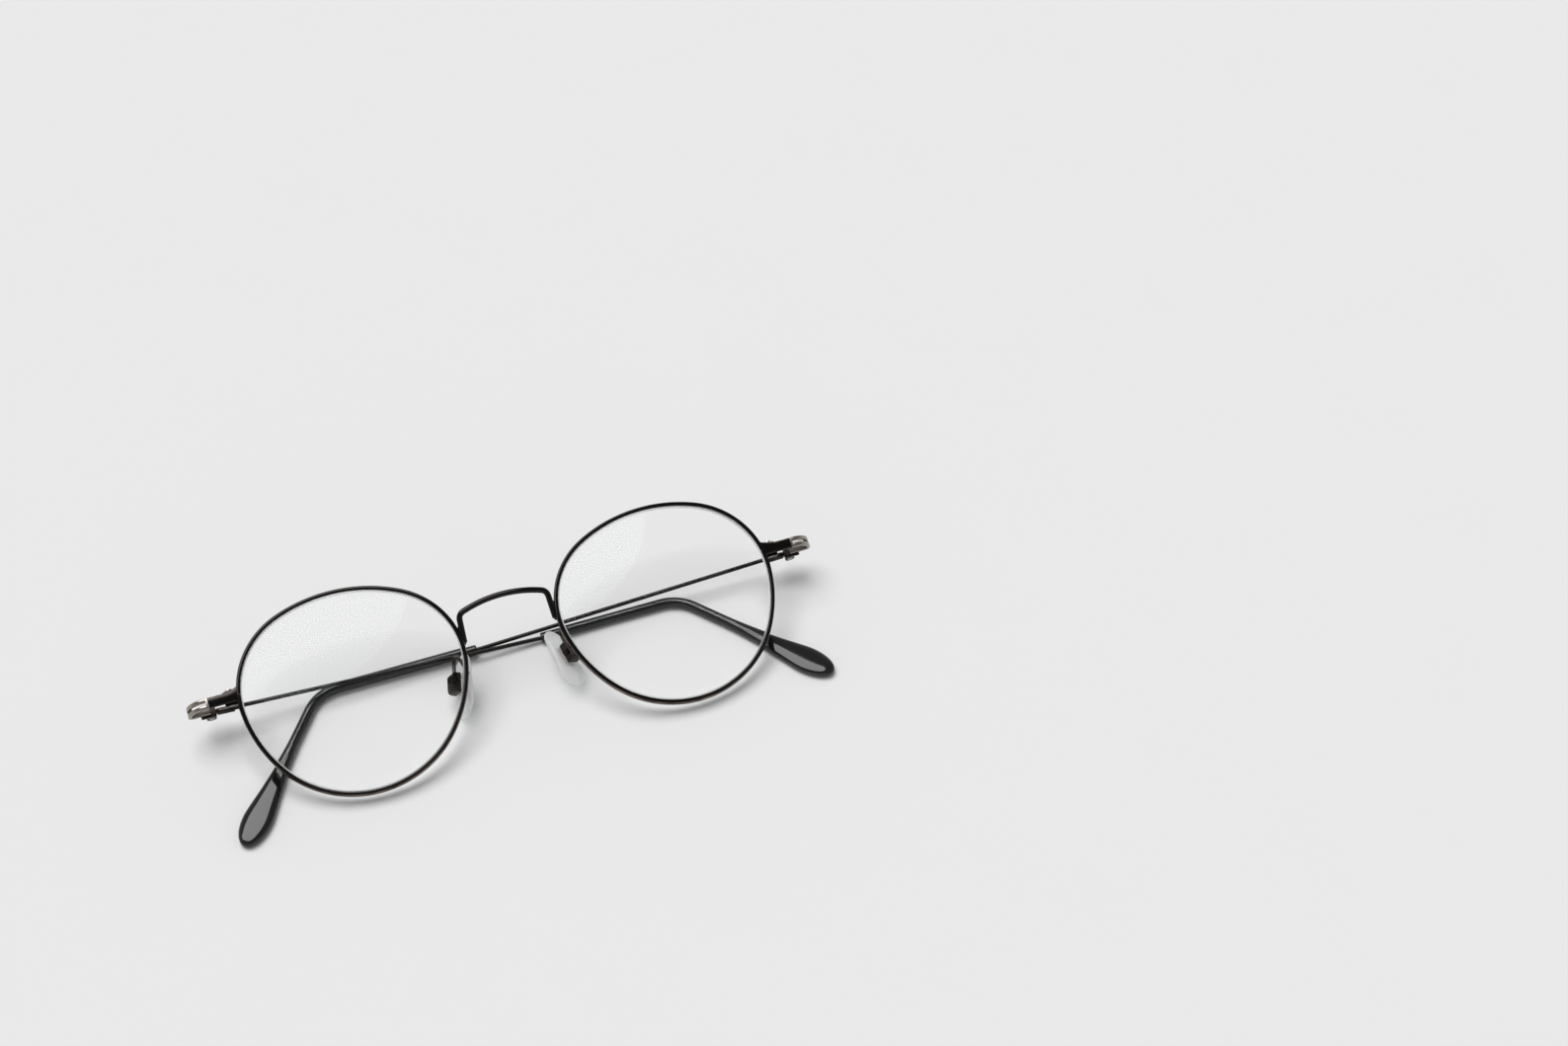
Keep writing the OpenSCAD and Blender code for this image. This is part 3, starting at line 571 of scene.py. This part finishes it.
class GLASSES_OT_rims(Operator):
    """Rims: a grooved wire section carried round each lens outline, split behind the end plate"""

    bl_idname = "glasses.make_rims"
    bl_label = "Make rims"

    def execute(self, context):
        w = context.scene.glasses_sizes.rim_width / MM / 2
        d, groove = RIM_D / 2, GROOVE
        corners = [
            (w, -0.42), (w, 0.42), (w - 0.18, d), (-w, d), (-w, 0.42),
            (groove - w, 0.0), (-w, -0.42), (-w, -d), (w - 0.18, -d),
        ]
        profile = rounded(corners, [0.2, 0.2, 0.2, 0.24, 0.05, 0.05, 0.05, 0.24, 0.2])
        # Warm metal on the outer front edge of the rim wire, weighted towards the bottom of each rim below: partly
        # worn plating, partly a painted warm highlight
        outer_edge_wear_and_highlight = np.clip((profile[:, 0] - w + 0.3) / 0.2, 0, 1)
        points, out = rim_curve(480, gap=RIM_SPLIT)
        path, across = flat(points[:, 0], points[:, 1], 0), flat(out[:, 0], out[:, 1], 0)
        grid = carried(path, across, flat(0 * points[:, 0], 0, 1), profile)
        low = np.clip(0.3 - out[:, 1], 0.1, 1)
        wear_and_highlight = np.append(low[:, None] * outer_edge_wear_and_highlight, (0, 0))
        for name, side in SIDES:
            shell = skin(on_table(in_rim(grid), side))
            build(
                "rim_wire_" + name, [shell], "front", ["rim_" + name], [frame_black()], edge=wear_and_highlight
            )
        return {"FINISHED"}


class GLASSES_OT_lenses(Operator):
    """Lenses: two spherical faces inside each rim, with ground edges and a bevel in the groove"""

    bl_idname = "glasses.make_lenses"
    bl_label = "Make lenses"

    def execute(self, context):
        w = context.scene.glasses_sizes.rim_width / MM / 2
        points, out = rim_curve(256)
        centre = LENS_T / 3 - math.sqrt(LENS_R**2 - (RIM_B / 2) ** 2)
        inner = points - (w + LENS_PLAY) * out
        edge = points - (w + LENS_FACE_IN) * out
        bevel = points - (w - GROOVE + BEVEL_PLAY) * out
        share = np.linspace(0.02, 1, 28)[:, None, None]

        def face(radius, line, drop=0.0):
            """z = centre + sqrt(radius^2 - x^2 - y^2)"""
            z = centre + np.sqrt(radius**2 - (line**2).sum(-1)) - drop
            return flat(line[..., 0], line[..., 1], z)

        front = face(LENS_R, edge * share)
        back = face(LENS_R - LENS_T, edge * share[::-1])
        rim = [
            face(LENS_R, inner, 0.16),
            flat(inner[:, 0], inner[:, 1], 0.34),
            flat(bevel[:, 0], bevel[:, 1], 0.03),
            flat(bevel[:, 0], bevel[:, 1], -0.03),
            flat(inner[:, 0], inner[:, 1], -0.34),
            face(LENS_R - LENS_T, inner, -0.12),
        ]
        grid = np.concatenate([front, np.array(rim), back])
        ground = np.zeros((len(grid) - 1, len(points)), int)
        ground[len(front) - 1 : len(front) + len(rim)] = 1
        for name, side in SIDES:
            shell = skin(on_table(in_rim(grid), side))
            shell["material"] = ground.ravel()
            build(
                "lens_glass_" + name, [shell], "front", ["lens_" + name],
                [lens_glass(), lens_edge()], sharp=25,
            )
        return {"FINISHED"}


def rim_edge_x(y):
    """Where the rim's outer edge is at a height y beside the end plate, on its corner arc."""
    c = turned(np.array((*rim_corner(), 0.0)), "z", RIM_TURN)
    r = CORNER_R + 0.475
    return LENS_PITCH / 2 + (c[0] + np.sqrt(r * r - (y + RIM_DROP - c[1]) ** 2)) * math.cos(math.radians(RIM_WRAP))


class GLASSES_OT_end_plates(Operator):
    """End plates: a rounded bar that flares to meet the rim's curve"""

    bl_idname = "glasses.make_end_plates"
    bl_label = "Make end plates"

    def execute(self, context):
        places = np.linspace(0, 1, 40)[:, None]
        x = EDGE_X - 0.05 + places * PLATE_LEN
        flare = np.clip(1 - (x - EDGE_X + 0.5) / 3.2, 0, 1) ** 2
        high = PLATE_END / 2 + (PLATE_ROOT - PLATE_END) / 2 * flare
        section = bar(2, PLATE_T, PLATE_CUT, 9)
        section[:, 0] = np.sign(section[:, 0]) * (1 - (1 - np.abs(section[:, 0])) / 1.15)
        y = END_Y + 0.5 * flare + high * section[:, 0]
        z = PLATE_Z + section[:, 1] * (1 - 0.12 * places)
        x = x + (1 - places) ** 1.5 * (rim_edge_x(y) - EDGE_X - 0.08)
        grid = flat(x, y, z)
        # Painted highlight: warm metal over the upper front bevel of each end plate, where a highlight falls
        upper = np.clip(4 * section[:, 0] - 2.6, 0, 1) * (section[:, 1] > 0)
        wear_and_highlight = np.append(np.tile(0.8 * upper, len(places)), (0, 0))
        for name, side in SIDES:
            shell = skin(on_table(grid, side))
            build(
                "end_plate_" + name, [shell], "front", ["end_piece_" + name],
                [frame_black()], edge=wear_and_highlight,
            )
        return {"FINISHED"}


def strap_path():
    """Middle line of a corner strap, in its own level plane: out, a wide bend back, a small bend in."""
    x0, z0 = PLATE_X + 0.7, PLATE_Z - STRAP_R
    a, b = np.linspace(np.pi / 2, 0, 40), np.linspace(0, -np.pi / 2, 16)
    x1 = x0 + STRAP_R - STRAP_SMALL
    x = np.concatenate([[PLATE_X], x0 + STRAP_R * np.cos(a), x1 + STRAP_SMALL * np.cos(b)[1:], [HINGE_X - 0.1]])
    z = np.concatenate([[PLATE_Z], z0 + STRAP_R * np.sin(a), z0 + STRAP_SMALL * np.sin(b)[1:], [z0 - STRAP_SMALL]])
    return flat(x, END_Y, z)


class GLASSES_OT_straps(Operator):
    """Corner straps: two bars bent side by side, joined by a web at both ends of the slot"""

    bl_idname = "glasses.make_straps"
    bl_label = "Make corner straps"

    def execute(self, context):
        path = strap_path()
        whole = length_of(path)
        slot_end = 0.7 + STRAP_R * np.pi / 2 - 0.2
        prong = (STRAP_H - SLOT_H) / 2

        def run(start, end, y, height, cut):
            """Bar from one distance along the strap to another, height tall, at y off its middle."""
            places = np.linspace(start, end, max(4, int((end - start) / 0.12)))
            line = resampled(path, places)
            along = unit(np.gradient(line, axis=0))
            up = np.broadcast_to((0.0, 1.0, 0.0), along.shape)
            return carried(line + (0, y, 0), np.cross(along, up), up, bar(STRAP_T, height, cut))

        bars = [
            run(0.0, WEB_LEN, 0, STRAP_H, WEB_CUT),
            run(SLOT_START, slot_end + 0.02, (SLOT_H + prong) / 2, prong, PRONG_CUT),
            run(SLOT_START, slot_end + 0.02, -(SLOT_H + prong) / 2, prong, PRONG_CUT),
            run(slot_end, whole, 0, STRAP_H, WEB_CUT),
        ]
        for name, side in SIDES:
            shells = [skin(on_table(grid, side)) for grid in bars]
            build("corner_strap_" + name, shells, "front", ["corner_loop_" + name], [warm_strap()])
        return {"FINISHED"}


class GLASSES_OT_bridge(Operator):
    """Bridge: one bent wire in a leaning plane, with a leaf of solder on each rim"""

    bl_idname = "glasses.make_bridge"
    bl_label = "Make bridge"

    def execute(self, context):
        d = context.scene.glasses_sizes.bridge_diameter / MM
        reach = math.asin((BRIDGE_HALF - BRIDGE_CORNER) / (BRIDGE_ARCH - BRIDGE_CORNER))
        low, leg_a = BRIDGE_RISE - BRIDGE_ARCH, math.radians(3)
        corner = np.array((BRIDGE_HALF - BRIDGE_CORNER, low + (BRIDGE_ARCH - BRIDGE_CORNER) * math.cos(reach)))
        a = np.linspace(0, reach, 60)
        b = np.linspace(np.pi / 2 - reach, leg_a, 40)
        arch = np.stack([BRIDGE_ARCH * np.sin(a), low + BRIDGE_ARCH * np.cos(a)], -1)
        bend = corner + BRIDGE_CORNER * np.stack([np.cos(b), np.sin(b)], -1)
        leg = (corner[1] + 1.8) / math.cos(leg_a)
        foot = bend[-1] + leg * np.array((math.sin(leg_a), -math.cos(leg_a)))
        half = np.concatenate([arch[1:], bend[1:], foot[None]])
        path = np.concatenate([half[::-1] * (-1, 1), arch[:1], half])
        shells = [wire(flat(path[:, 0], path[:, 1], 0), d, 0.25, 0.3, 28)]
        t = np.linspace(0.05, np.pi - 0.05, 28)[:, None]
        p = np.linspace(0, 2 * np.pi, 24, endpoint=False)
        for s in (-1, 1):
            shells.append(
                skin(
                    flat(
                        s * (BRIDGE_HALF + GUSSET_OUT) + GUSSET_W * np.sin(t) ** 0.9 * np.cos(p),
                        GUSSET_UP + GUSSET_H * np.cos(t),
                        GUSSET_T * np.sin(t) ** 0.9 * np.sin(p),
                    )
                )
            )
        for s in shells:
            s["points"] = on_table(turned(s["points"], "x", BRIDGE_LEAN) + (0, BRIDGE_Y, BRIDGE_Z))
        build("bridge_wire", shells, "front", ["bridge"], [frame_black()])
        return {"FINISHED"}


def tip_spine(side, places):
    """Points and directions on a sleeve's middle line as it lies: straight, an arc, and straight."""
    t = TEMPLE[side]
    bend = math.radians(t["bend"])
    back = BEND_R * math.tan(bend / 2)
    straight, curve = t["reach"] - back, BEND_R * bend
    a = np.clip((places - straight) / BEND_R, 0, bend)
    before, after = np.minimum(places, straight), np.maximum(0, places - straight - curve)
    x = before + BEND_R * np.sin(a) + after * np.cos(a)
    y = BEND_R * (np.cos(a) - 1) - after * np.sin(a)
    pin = on_table(np.array((HINGE_X, HINGE_Y, HINGE_Z)), side)
    mouth = np.array((side * (HINGE_X - WIRE_RUN), pin[1] + t["lean"], SLEEVE_D / 2))
    line = mouth + flat(-side * x, y, 0)
    return line, flat(-side * np.cos(a), -np.sin(a), 0), pin, straight + curve + t["arm"] - back


class GLASSES_OT_temples(Operator):
    """Temples: a straight wire from each hinge, and a sleeve that bends and widens to its tip"""

    bl_idname = "glasses.make_temples"
    bl_label = "Make temples"

    def execute(self, context):
        sizes = context.scene.glasses_sizes
        wide, thick = sizes.tip_width / MM, sizes.tip_thickness / MM
        for name, side in SIDES:
            length = tip_spine(side, np.zeros(1))[3]
            places = np.linspace(0, length - WIRE_STOP, 160)
            line, _, pin, _ = tip_spine(side, places)
            start = pin + 2.4 * unit(line[0] - pin)
            path = np.concatenate([np.linspace(start, line[0], 120, endpoint=False), line])
            build(
                "temple_rod_" + name, [wire(path, sizes.wire_diameter / MM, 0.8, 0.1)], "temple_" + name,
                ["temple_wire_" + name], [frame_black()],
            )
            build(
                "tip_sleeve_" + name, [self.sleeve(side, length, wide, thick)], "temple_" + name,
                ["temple_tip_" + name], [black_acetate()], sharp=50,
            )
        return {"FINISHED"}

    def sleeve(self, side, length, wide, thick):
        """Width, height and squareness change with the distance e from the end. They blend by
        (1 - d / 20)^1.9, where d is how far e is past the widest place, eased over 2 mm."""
        ends = 1 - np.cos(np.linspace(0.09, np.pi / 2, 16))
        places = np.concatenate(
            [[0.0, 0.02, 0.08, 0.18, 0.3], np.linspace(0.5, length - 6.5, 190), length - 6.4 * ends[::-1]]
        )
        lip = np.interp(places, [0, 0.02, 0.08, 0.18, 0.3], [0.78, 0.86, 0.93, 0.98, 1.0])
        line, along, _, _ = tip_spine(side, places)
        e, peak = length - places, 6.5
        d = np.sqrt(np.maximum(0, e - peak) ** 2 + TIP_ROUND**2) - TIP_ROUND
        fall = np.maximum(0, 1 - d / 20) ** 1.9
        blend = np.minimum(1, 3 * fall)
        width = np.where(
            e < peak, wide * np.sqrt(np.maximum(0, 1 - (1 - e / peak) ** 2)), SLEEVE_D + (wide - SLEEVE_D) * fall
        )
        full = SLEEVE_D + (thick + FLAT_CUT - SLEEVE_D) * blend
        height = full * np.where(e < TIP_ROUND, np.sqrt(np.maximum(0, 1 - (1 - e / TIP_ROUND) ** 2)), 1)
        lift = full / 2 - SLEEVE_D / 2 - FLAT_CUT * blend
        n = 2 / (2 + 0.8 * blend[:, None])
        a = np.linspace(0, 2 * np.pi, 56, endpoint=False)
        power = lambda v: np.sign(v) * np.abs(v) ** n
        section = np.stack(
            [
                (width * lip / 2)[:, None] * power(np.cos(a)),
                lift[:, None] + (height * lip / 2)[:, None] * power(np.sin(a)),
            ],
            -1,
        )
        across = unit(np.cross(along, (0.0, 0.0, 1.0)))
        grid = carried(line, across, np.cross(across, along), section)
        grid[..., 2] = np.maximum(grid[..., 2], 0.0)
        return skin(grid)


class GLASSES_OT_pad_arms(Operator):
    """Pad arms: a thin wire on a smooth curve from a soldered foot behind the rim to the pad's box"""

    bl_idname = "glasses.make_pad_arms"
    bl_label = "Make pad arms"

    def execute(self, context):
        d = context.scene.glasses_sizes.arm_diameter / MM
        foot = np.array((*ARM_FOOT, 0.0))
        foot[2] = (LENS_PITCH / 2 - foot[0]) * math.tan(math.radians(RIM_WRAP)) - RIM_D / 2 - 0.03
        t = np.linspace(0, 1, 200)[:, None]
        a = np.linspace(0.1, np.pi - 0.1, 14)[:, None]
        p = np.linspace(0, 2 * np.pi, 24, endpoint=False)
        blob = flat(
            foot[0] + 0.52 * np.sin(a) ** 0.45 * np.cos(p),
            foot[1] + 0.62 * np.sin(a) ** 0.45 * np.sin(p),
            foot[2] - 0.24 + 0.27 * np.cos(a),
        )
        for name, side in SIDES:
            screw, top = at_pad(np.array([(0, 0, 0), (0, 2.2, 0)]), side)
            up, across = unit(top - screw), top[0] - foot[0]
            guides = [
                foot + (0, 0, -0.15),
                foot + (0, 0.4, -1.6),
                foot + (0.15 * across, 4.2, -1.2),
                foot + (0.6 * across, 6.8, -3),
                top + 3.6 * up + (0, 0, -1),
                top + 1.5 * up,
                top,
            ]
            path = sum(math.comb(6, k) * t**k * (1 - t) ** (6 - k) * guides[k] for k in range(7))
            shells = [wire(path, d, 0.2, 0.05), skin(blob)]
            for s in shells:
                s["points"] = on_table(s["points"], side)
                s["faces"] = [f[:, ::side] for f in s["faces"]]
            build("pad_arm_wire_" + name, shells, "front", ["pad_arm_" + name], [dark_satin()])
        return {"FINISHED"}


class GLASSES_OT_nose_pads(Operator):
    """Nose pads: a drop of solid silicone, thickest in its middle and rounded at its rim"""

    bl_idname = "glasses.make_nose_pads"
    bl_label = "Make nose pads"

    def execute(self, context):
        sizes = context.scene.glasses_sizes
        wide, thick = sizes.pad_width / MM, sizes.pad_thickness / MM
        low_r, high_r = wide / 2, wide * PAD_UPPER
        low, high = low_r - PAD_LEN / 2, PAD_LEN / 2 - high_r
        lean = math.asin((low_r - high_r) / (high - low))
        a = np.linspace(lean, np.pi - lean, 40)
        b = np.linspace(np.pi - lean, 2 * np.pi + lean, 48)
        outline = np.concatenate(
            [
                np.stack([high_r * np.cos(a), high + high_r * np.sin(a)], -1),
                np.stack([low_r * np.cos(b), low + low_r * np.sin(b)], -1),
            ]
        )
        ring_3d = flat(outline[:, 0], outline[:, 1], 0)
        ring_3d = resampled(np.concatenate([ring_3d, ring_3d[:1]]), count=97)[:-1]
        t = np.linspace(0.02, np.pi - 0.02, 44)[:, None]
        share = np.sin(t) ** PAD_ROUND
        y, z = share * ring_3d[:, 1], share * ring_3d[:, 0]
        crown = thick / 2 - (y * y + z * z) / PAD_CROWN
        x = np.sign(np.cos(t)) * np.abs(np.cos(t)) ** PAD_ROUND * crown
        for name, side in SIDES:
            shell = skin(on_table(at_pad(flat(x - PAD_REACH, y, z), side), side))
            build(
                "pad_silicone_" + name, [shell], "pad_" + name, ["nose_pad_" + name],
                [clear_silicone()], sharp=60,
            )
        return {"FINISHED"}


class GLASSES_OT_small_parts(Operator):
    """Small turned and milled parts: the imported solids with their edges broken, and their finishes"""

    bl_idname = "glasses.finish_small_parts"
    bl_label = "Finish small parts"

    def execute(self, context):
        finishes = (
            (frame_black, 0.12, ("rim_lock_upper", "rim_lock_lower")),
            (dark_satin, 0.1, ("hinge_front", "hinge_rear", "pad_box")),
            (dark_satin, 0.05, ("pad_screw",)),
            (bright_steel, 0.05, ("rim_lock_screw", "hinge_screw", "pad_core")),
            (bright_steel, 0.015, ("hinge_washers",)),
        )
        for finish, edge, names in finishes:
            for name in names:
                for side, _ in SIDES:
                    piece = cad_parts[name + "_" + side]
                    piece.data.materials.clear()
                    piece.data.materials.append(finish())
                    weld = piece.modifiers.new("Weld", "WELD")
                    weld.merge_threshold = 1e-6
                    bevel = piece.modifiers.new("Edges", "BEVEL")
                    bevel.width = edge * MM
                    bevel.segments = 2
                    bevel.limit_method = "ANGLE"
                    bevel.angle_limit = math.radians(35)
                    bevel.harden_normals = True
        return {"FINISHED"}


class GLASSES_OT_stage(Operator):
    """Stage: a pale floor, a soft key light nearly overhead, a dim room and the camera"""

    bl_idname = "glasses.make_stage"
    bl_label = "Make stage"

    def execute(self, context):
        scene, stage = context.scene, context.scene.glasses_stage
        size = FLOOR_HALF
        corners = [(-size, -size, 0), (size, -size, 0), (size, size, 0), (-size, size, 0)]
        mesh = bpy.data.meshes.new("floor")
        mesh.from_pydata(corners, [], [(0, 1, 2, 3)])
        mesh.materials.append(pale_floor())
        floor = bpy.data.objects.new("floor", mesh)
        scene.collection.objects.link(floor)

        lamp = bpy.data.lights.new("key", "SUN")
        lamp.energy, lamp.angle = stage.sun_strength, stage.sun_angle
        key = bpy.data.objects.new("key", lamp)
        key.rotation_euler = (math.radians(KEY_TURN[0]), math.radians(KEY_TURN[1]), 0)
        scene.collection.objects.link(key)

        scene.world = self.room()
        camera = bpy.data.objects.new("camera", bpy.data.cameras.new("camera"))
        camera.data.lens, camera.data.sensor_width = stage.focal_length, 36.0
        camera.data.clip_start, camera.data.clip_end = 0.01, 100
        camera.location = CAMERA_AT
        camera.rotation_euler = (math.radians(CAMERA_TURN[0]), 0, math.radians(CAMERA_TURN[1]))
        scene.collection.objects.link(camera)
        scene.camera = camera
        scene.view_settings.view_transform = "Standard"
        return {"FINISHED"}

    def room(self):
        """Room light by height: as pale as the floor to just above the horizon, and dim overhead."""
        world = bpy.data.worlds.new("room")
        world.use_nodes = True
        tree = world.node_tree
        place = tree.nodes.new("ShaderNodeTexCoord")
        split = tree.nodes.new("ShaderNodeSeparateXYZ")
        ramp = tree.nodes.new("ShaderNodeValToRGB")
        tree.links.new(place.outputs["Generated"], split.inputs[0])
        tree.links.new(split.outputs["Z"], ramp.inputs[0])
        tree.links.new(ramp.outputs[0], tree.nodes["Background"].inputs[0])
        for height, _ in ROOM_LEVELS[1:-1]:
            ramp.color_ramp.elements.new(height)
        for element, (height, level) in zip(ramp.color_ramp.elements, ROOM_LEVELS):
            element.position, element.color = height, (level, level, level, 1)
        return world


class GLASSES_PT_sidebar(Panel):
    """Lists the pieces and the settings"""

    bl_idname = "GLASSES_PT_sidebar"
    bl_label = "Round metal eyeglasses"
    bl_space_type = "VIEW_3D"
    bl_region_type = "UI"
    bl_category = "Eyeglasses"

    def draw(self, context):
        for group in (context.scene.glasses_sizes, context.scene.glasses_colours, context.scene.glasses_stage):
            column = self.layout.column()
            for key in group.bl_rna.properties.keys():
                if key not in ("rna_type", "name"):
                    column.prop(group, key)
        for step in STEPS:
            self.layout.operator(step.bl_idname)


STEPS = (
    GLASSES_OT_rims,
    GLASSES_OT_lenses,
    GLASSES_OT_end_plates,
    GLASSES_OT_straps,
    GLASSES_OT_bridge,
    GLASSES_OT_temples,
    GLASSES_OT_pad_arms,
    GLASSES_OT_nose_pads,
    GLASSES_OT_small_parts,
    GLASSES_OT_stage,
)
GROUPS = (("glasses_sizes", GlassesSizes), ("glasses_colours", GlassesColours), ("glasses_stage", StageSettings))


def register():
    for name, group in GROUPS:
        bpy.utils.register_class(group)
        setattr(bpy.types.Scene, name, PointerProperty(type=group))
    for step in STEPS:
        bpy.utils.register_class(step)
    bpy.utils.register_class(GLASSES_PT_sidebar)


def unregister():
    bpy.utils.unregister_class(GLASSES_PT_sidebar)
    for step in reversed(STEPS):
        bpy.utils.unregister_class(step)
    for name, group in reversed(GROUPS):
        delattr(bpy.types.Scene, name)
        bpy.utils.unregister_class(group)


def main():
    register()
    for step in STEPS:
        family, call = step.bl_idname.split(".")
        if getattr(getattr(bpy.ops, family), call)() != {"FINISHED"}:
            raise RuntimeError(step.bl_label + " did not finish")


if __name__ == "__main__":
    main()
